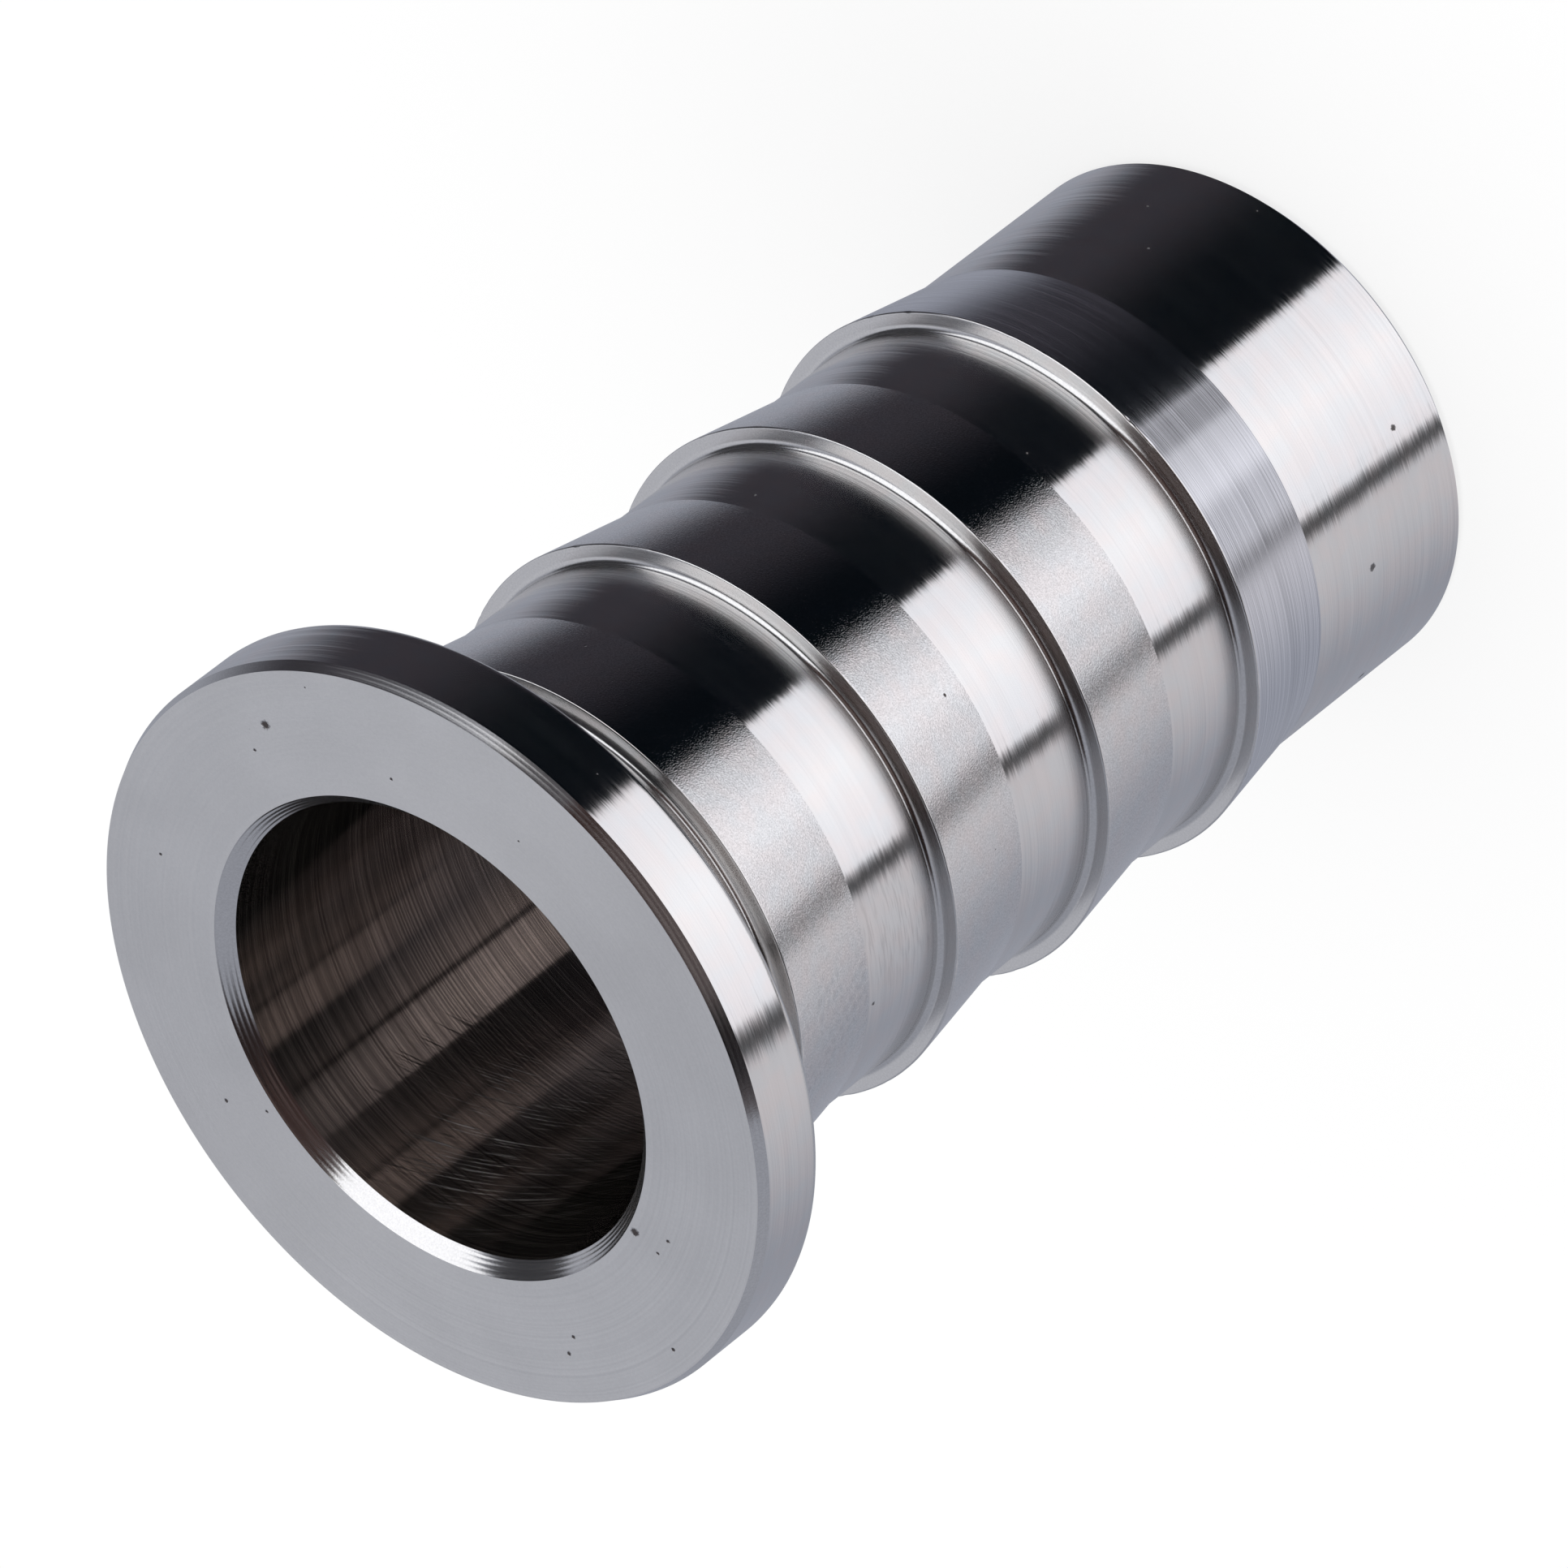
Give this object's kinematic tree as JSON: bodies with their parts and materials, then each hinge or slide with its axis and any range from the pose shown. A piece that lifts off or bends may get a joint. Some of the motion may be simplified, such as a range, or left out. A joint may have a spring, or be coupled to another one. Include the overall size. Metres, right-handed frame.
{
  "type": "barbed tube insert",
  "caption": "Turned stainless steel insert for the end of a tube: a flat flange, a through bore and saw-tooth barbs that face it, with a plain leading end.",
  "frame": {"origin": "centre of the plain end's face, on the axis of the bore", "axes": "+Z along the axis, from the plain end to the flange's face, which is on top; X and Y are any two directions across it"},
  "size_m": [0.022, 0.022, 0.0344],
  "materials": {
    "turned_steel": "turned bare stainless steel: fine rings on the cylinders and faces, finely speckled matt tapers"
  },
  "bodies": {
    "root": {"tube_insert": "turned_steel"}
  },
  "joints": []
}
